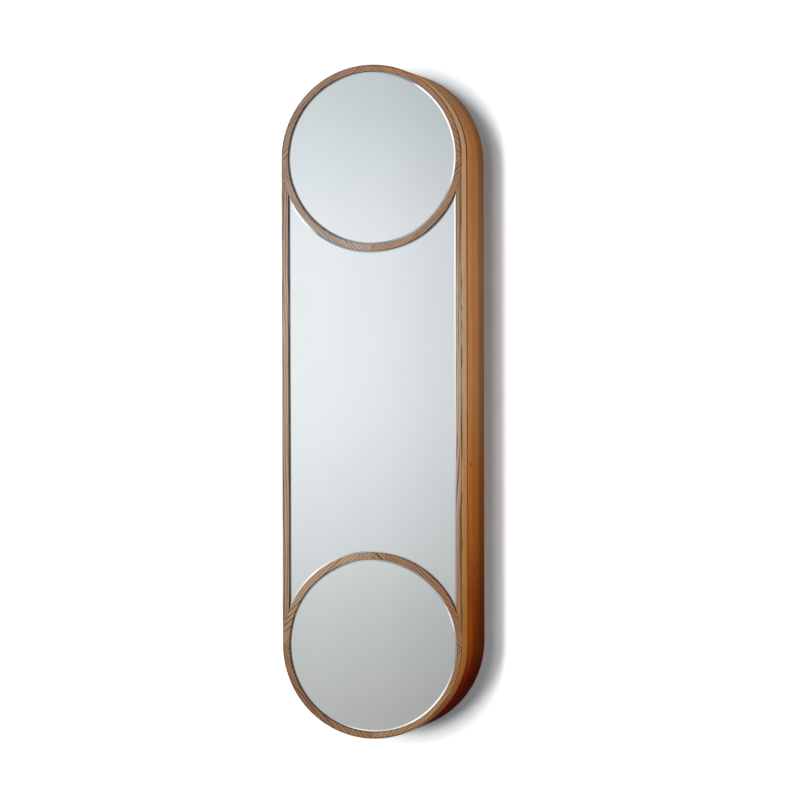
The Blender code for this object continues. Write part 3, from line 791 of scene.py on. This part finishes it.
def finish_cad_nodes(side_wood):
    """Materials and eased edges for the CAD nodes that stay in view."""
    veneer = ((0.50, 0.34, 0.20), (0.33, 0.20, 0.105))
    shelf_wood = wood("shelf_veneer", veneer, pitch=0.011, along="X")
    panel_wood = wood("panel_veneer", veneer, pitch=0.014, along="Z")
    core = board("core_board", (0.62, 0.50, 0.36), (0.42, 0.32, 0.21))
    plywood = ((0.62, 0.50, 0.34), (0.46, 0.34, 0.21))
    rail = wood("rail_plywood", plywood, pitch=0.009, along="X", roughness=0.6)
    brass = metal("toned_brass", (0.60, 0.43, 0.20), roughness=0.34, brush=(900.0, 900.0, 60.0))
    steel = metal("plated_steel", (0.56, 0.57, 0.58), roughness=0.30, brush=(900.0, 900.0, 900.0))
    soft = rubber()
    looks = (
        ("case_left_side", side_wood, "case_wood", SMALL_ARRIS),
        ("case_right_side", side_wood, "case_wood", SMALL_ARRIS),
        ("back_panel", panel_wood, "inside_wood", 0.0),
        ("door_inner_panel", panel_wood, "inside_wood", 0.0),
        ("door_core", core, "core_board", 0.0),
        ("loose_shelf", shelf_wood, "inside_wood", ARRIS),
        ("hanging_rail", rail, "core_board", RAIL_ARRIS),
        ("wall_cleat", rail, "core_board", RAIL_ARRIS),
    )
    for look in looks:
        finish_node(*look)
    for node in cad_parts:
        if node.startswith("fixed_shelf"):
            finish_node(node, shelf_wood, "inside_wood", ARRIS)
        elif node.startswith("hinge_leaf"):
            finish_node(node, brass, "brass", LEAF_ARRIS)
        elif node.startswith("hinge_"):
            finish_node(node, brass, "brass")
        elif node.startswith(("shelf_pin", "magnet", "strike")):
            finish_node(node, steel, "steel")
        elif node.startswith("bumper"):
            finish_node(node, soft, "rubber")


# --- stage, light and camera ----------------------------------------------------------

MIDDLE = Vector((0.0, 0.0, CENTRE_Z))  # of the cabinet, at the wall
FLOOR_Z = CENTRE_Z - HALF_HEIGHT - 0.30
WALL_Y = 0.0006
STAGE_REACH = 5.0
STAGE_TOP = 4.0

# The two paints are tinted against the colour of the light, so that both look white.
WALL_WHITE = (0.85, 0.86, 0.864, 1.0)
FLOOR_WHITE = (0.90, 0.86, 0.845, 1.0)

# Lamps, and the light from the surroundings.
KEY_DISTANCE = 30.0
KEY_STRENGTH = 2.8
KEY_HALF_WIDTH = math.radians(2.8)
KEY_HALF_HEIGHT = math.radians(9.2)
HALO_STRENGTH = 0.75
HALO_DISTANCE = 4.0
HALO_ANGLE = math.radians(6.4)
SIDE_WATTS = 1.5
LOW_WATTS = 3.0
LOW_COLOUR = (1.0, 0.86, 0.73)
FILL_SIZE = 0.5
BACK_WATTS = 60.0
BACK_SIZE = 1.6
SIDE_GLOW = 2.4
AMBIENT = 0.74
SKY_LOW, SKY_HIGH = (0.05, 0.075, 0.09), (0.325, 0.50, 0.615)
WINDOW_COLOUR = (1.35, 1.34, 1.30)
PURE_WHITE = (1.0, 1.0, 1.0, 1.0)

CAMERA_AZIMUTH, CAMERA_ELEVATION, CAMERA_ROLL = (math.radians(a) for a in (14.1, 0.47, -0.14))
CAMERA_DISTANCE = 36.0 * RADIUS
CAMERA_AIM = Vector((0.314 * RADIUS, DOOR_FRONT, CENTRE_Z + 0.021 * RADIUS))
CAMERA_LENS = 151.1
CAMERA_SENSOR = 36.0


def add_plane(name, corners, material):
    """A flat piece of the stage, which isn't part of the object."""
    mesh = bpy.data.meshes.new(name)
    mesh.from_pydata(corners, [], [(0, 1, 2, 3)])
    mesh.materials.append(material)
    plane = bpy.data.objects.new(name, mesh)
    bpy.context.scene.collection.objects.link(plane)
    return plane


def plain_paint(name, colour, one_sided):
    """Plain pale paint; a one-sided plane lets the back of the object be seen through it."""
    material, nodes, shader = new_material(name)
    shader.inputs["Base Color"].default_value = colour
    shader.inputs["Roughness"].default_value = 0.9
    shader.inputs["Specular IOR Level"].default_value = 0.0
    if one_sided:
        behind = nodes.add("ShaderNodeNewGeometry").outputs["Backfacing"]
        clear = nodes.add("ShaderNodeBsdfTransparent").outputs[0]
        mixed = nodes.add("ShaderNodeMixShader", {0: behind, 1: shader.outputs[0], 2: clear})
        output = nodes.tree.nodes["Material Output"]
        nodes.put(output.inputs["Surface"], mixed.outputs[0])
    return material


def make_stage():
    """A pale wall just behind the cabinet and a pale floor below, which throw nothing back on it."""
    reach = STAGE_REACH
    wall_corners = (
        (-reach, WALL_Y, FLOOR_Z),
        (reach, WALL_Y, FLOOR_Z),
        (reach, WALL_Y, STAGE_TOP),
        (-reach, WALL_Y, STAGE_TOP),
    )
    floor_corners = (
        (-reach, -reach, FLOOR_Z),
        (reach, -reach, FLOOR_Z),
        (reach, reach, FLOOR_Z),
        (-reach, reach, FLOOR_Z),
    )
    wall_paint = plain_paint("wall_paint", WALL_WHITE, one_sided=True)
    floor_paint = plain_paint("floor_paint", FLOOR_WHITE, one_sided=False)
    wall = add_plane("stage_wall", wall_corners, wall_paint)
    floor = add_plane("stage_floor", floor_corners, floor_paint)
    for plane in (wall, floor):
        plane.visible_shadow = False
        plane.visible_glossy = False
        plane.visible_diffuse = False


def add_lamp(name, kind, place, target, watts, colour=(1.0, 1.0, 1.0)):
    """A lamp that points at a target and shows in neither the picture nor the mirrors."""
    data = bpy.data.lights.new(name, kind)
    data.energy = watts
    data.color = colour
    lamp = bpy.data.objects.new(name, data)
    lamp.location = place
    lamp.rotation_euler = (Vector(target) - Vector(place)).to_track_quat("-Z", "Y").to_euler()
    lamp.visible_camera = False
    lamp.visible_glossy = False
    bpy.context.scene.collection.objects.link(lamp)
    return data


def towards(left, up):
    """The direction of a light so many degrees to the left and up, seen from the front."""
    return Vector((-math.tan(math.radians(left)), -1.0, math.tan(math.radians(up)))).normalized()


def make_lights():
    """A tall, distant key with a round halo, two fills on the right, one lamp for the back."""
    key_place = MIDDLE + KEY_DISTANCE * towards(left=11.9, up=2.6)
    key_watts = KEY_STRENGTH * math.pi * KEY_DISTANCE ** 2
    key = add_lamp("key_light", "AREA", key_place, MIDDLE, key_watts)
    key.shape = "ELLIPSE"
    key.size = 2 * KEY_DISTANCE * math.tan(KEY_HALF_WIDTH)
    key.size_y = 2 * KEY_DISTANCE * math.tan(KEY_HALF_HEIGHT)
    halo_place = MIDDLE + HALO_DISTANCE * towards(left=6.6, up=2.2)
    halo = add_lamp("key_halo", "SUN", halo_place, MIDDLE, HALO_STRENGTH)
    halo.angle = HALO_ANGLE
    side_place, upper_side = (1.3, -0.12, CENTRE_Z + 0.85), (RADIUS, -0.1, CENTRE_Z + 0.45)
    side = add_lamp("side_light", "AREA", side_place, upper_side, SIDE_WATTS)
    side.size = FILL_SIZE
    low_place, lower_side = (1.0, -0.8, CENTRE_Z - 0.8), (RADIUS, -0.04, CENTRE_Z - 0.45)
    low = add_lamp("low_light", "AREA", low_place, lower_side, LOW_WATTS, LOW_COLOUR)
    low.size = FILL_SIZE
    back_place = (-1.2, 3.0, CENTRE_Z + 0.2)
    back = add_lamp("back_light", "AREA", back_place, MIDDLE, BACK_WATTS)
    back.size = BACK_SIZE


def soft_panel(nodes, x, z):
    """A soft panel in front of the mirrors: its tone changes with height and fades to the right."""
    panel = nodes.ramp(
        nodes.fit(z, -0.32, 0.12, 0.0, 1.0),
        (
            (0.0, (0.99, 0.99, 0.97)),
            (0.11, (0.62, 0.63, 0.63)),
            (0.22, (0.56, 0.57, 0.57)),
            (0.30, (0.41, 0.42, 0.42)),
            (0.40, (0.42, 0.43, 0.43)),
            (0.45, (0.49, 0.49, 0.48)),
            (0.51, (0.54, 0.545, 0.54)),
            (0.59, (0.69, 0.715, 0.72)),
            (0.68, (0.87, 0.90, 0.92)),
            (0.78, (0.915, 0.94, 0.965)),
            (0.84, (0.85, 0.885, 0.91)),
            (0.90, (0.70, 0.745, 0.765)),
            (1.0, (0.57, 0.61, 0.63)),
        ),
        "CARDINAL",
    )
    sideways = nodes.grey_ramp(
        nodes.fit(x, -0.29, -0.15, 0.0, 1.0),
        ((0.0, 1.0), (0.175, 1.0), (0.3, 0.93), (0.4, 0.83), (0.5, 0.75), (1.0, 0.55)),
    )
    return nodes.mix(1.0, panel, sideways, blend="MULTIPLY")


def far_left(nodes, height):
    """The tone far to the left of the panel, which the bevels on the left reflect."""
    return nodes.grey_ramp(
        height,
        (
            (0.15, 0.42),
            (0.40, 0.22),
            (0.60, 0.17),
            (0.70, 0.15),
            (0.745, 0.34),
            (0.80, 0.38),
            (0.92, 0.38),
            (1.0, 0.30),
        ),
    )


def windows(nodes, x, z, height):
    """How much of a bright window shows: a broad one low down, a narrow one from mid-height up."""
    low = nodes.grey_ramp(
        height,
        ((0.0, 0.8), (0.19, 0.85), (0.25, 0.58), (0.34, 0.38), (0.43, 0.12), (0.5, 0.03), (0.62, 0.0)),
    )
    low = nodes.math("MULTIPLY", low, nodes.fit(x, -0.215, -0.13, 0.0, 1.0))
    high = nodes.grey_ramp(
        height,
        ((0.65, 0.0), (0.69, 0.33), (0.745, 0.60), (0.80, 0.85), (0.85, 1.0), (1.0, 0.9)),
    )
    left_side = nodes.fit(z, 0.13, 0.17, -0.035, -0.135)
    soft_edge = nodes.math("ADD", left_side, 0.025)
    high = nodes.math("MULTIPLY", high, nodes.fit(x, left_side, soft_edge, 0.0, 1.0))
    both = nodes.math("MAXIMUM", low, high)
    return nodes.math("MULTIPLY", both, nodes.fit(x, -0.01, 0.02, 1.0, 0.0))


def reflected_room(nodes, x, y, z):
    """What the mirrors and the gloss show: panel and windows ahead, a dim room behind."""
    height = nodes.fit(z, -0.3, 0.1, 0.0, 1.0)
    shade = soft_panel(nodes, x, z)
    shade = nodes.mix(nodes.fit(x, -0.36, -0.30, 1.0, 0.0), shade, far_left(nodes, height))
    shade = nodes.mix(windows(nodes, x, z, height), shade, WINDOW_COLOUR)
    ahead = nodes.fit(y, -0.15, 0.15, 1.0, 0.0)
    behind = nodes.fit(nodes.math("ABSOLUTE", x), 0.45, 0.80, 0.08, 0.70)
    level = nodes.math("MAXIMUM", ahead, behind)
    return nodes.add("ShaderNodeBackground", {"Color": shade, "Strength": level}).outputs[0]


def ambient_light(nodes, x, y, z):
    """Dim, bluish light from all round, and a white glow from both sides."""
    up = nodes.fit(z, -1.0, 1.0, 0.0, 1.0)
    sky = nodes.ramp(up, ((0.2, SKY_LOW), (0.9, SKY_HIGH)))
    glow = nodes.fit(nodes.math("ABSOLUTE", x), 0.2, 0.6, 0.0, 1.0)
    glow = nodes.math("MULTIPLY", glow, nodes.fit(y, -0.25, 0.05, 0.0, 1.0))
    glow = nodes.math("MULTIPLY", glow, nodes.fit(z, -0.45, 0.25, 0.0, SIDE_GLOW))
    dim = nodes.add("ShaderNodeBackground", {"Color": sky, "Strength": AMBIENT})
    beside = nodes.add("ShaderNodeBackground", {"Color": PURE_WHITE, "Strength": glow})
    return nodes.add("ShaderNodeAddShader", {0: dim.outputs[0], 1: beside.outputs[0]}).outputs[0]


def make_world():
    """White for the camera, a room for reflections, and dim light from all round."""
    world = bpy.data.worlds.new("studio")
    bpy.context.scene.world = world
    world.use_nodes = True
    nodes = Nodes(world.node_tree)
    world.node_tree.nodes.clear()
    direction = nodes.add("ShaderNodeTexCoord").outputs["Generated"]
    parts = nodes.add("ShaderNodeSeparateXYZ", {"Vector": direction})
    x, y, z = (parts.outputs[axis] for axis in "XYZ")
    rays = nodes.add("ShaderNodeLightPath")
    unseen = {
        0: rays.outputs["Is Glossy Ray"],
        1: ambient_light(nodes, x, y, z),
        2: reflected_room(nodes, x, y, z),
    }
    unseen = nodes.add("ShaderNodeMixShader", unseen).outputs[0]
    seen = nodes.add("ShaderNodeBackground", {"Color": PURE_WHITE, "Strength": 1.0}).outputs[0]
    mixed = nodes.add("ShaderNodeMixShader", {0: rays.outputs["Is Camera Ray"], 1: unseen, 2: seen})
    output = nodes.add("ShaderNodeOutputWorld")
    nodes.put(output.inputs["Surface"], mixed.outputs[0])


def make_camera():
    """A long lens about level with the cabinet's middle, a little round to its right."""
    level = math.cos(CAMERA_ELEVATION)
    away = Vector(
        (
            math.sin(CAMERA_AZIMUTH) * level,
            -math.cos(CAMERA_AZIMUTH) * level,
            math.sin(CAMERA_ELEVATION),
        )
    )
    data = bpy.data.cameras.new("camera")
    data.lens = CAMERA_LENS
    data.sensor_width = CAMERA_SENSOR
    data.clip_end = 50.0
    camera = bpy.data.objects.new("camera", data)
    camera.rotation_mode = "QUATERNION"
    turn = (-away).to_track_quat("-Z", "Y").to_matrix() @ Matrix.Rotation(CAMERA_ROLL, 3, "Z")
    camera.rotation_quaternion = turn.to_quaternion()
    camera.location = CAMERA_AIM + CAMERA_DISTANCE * away
    bpy.context.scene.collection.objects.link(camera)
    bpy.context.scene.camera = camera


def build():
    """The whole scene, in one fixed order."""
    bpy.context.scene.view_settings.view_transform = "Standard"
    sawn = {"pitch": 0.0060, "contrast": 1.0}
    front = {
        "left": wood("front_oak_left", LEFT_COLOURS, tone_and_painted_light=LEFT_PAINTED_LIGHT, **sawn),
        "right": wood("front_oak_right", RIGHT_COLOURS, tone_and_painted_light=RIGHT_PAINTED_LIGHT, **sawn),
    }
    edge = wood("edge_oak", BAND_COLOURS, pitch=0.0065, contrast=0.6, gloss=0.2, tone_and_painted_light=BAND_PAINTED_LIGHT)
    case = {"pitch": 0.012, "contrast": 0.8, "gloss": 0.01, "tone_and_painted_light": CASE_PAINTED_LIGHT, "strips_and_painted_shade": True}
    bent = wood("case_oak", CASE_COLOURS, **case)
    side = wood("case_side_oak", CASE_COLOURS, along="ZY", knot=KNOT, **case)
    make_rings(front)
    make_stiles(front)
    make_edge_band(edge, front)
    make_mirrors()
    make_arches(bent)
    finish_cad_nodes(side)
    make_stage()
    make_lights()
    make_world()
    make_camera()


build()
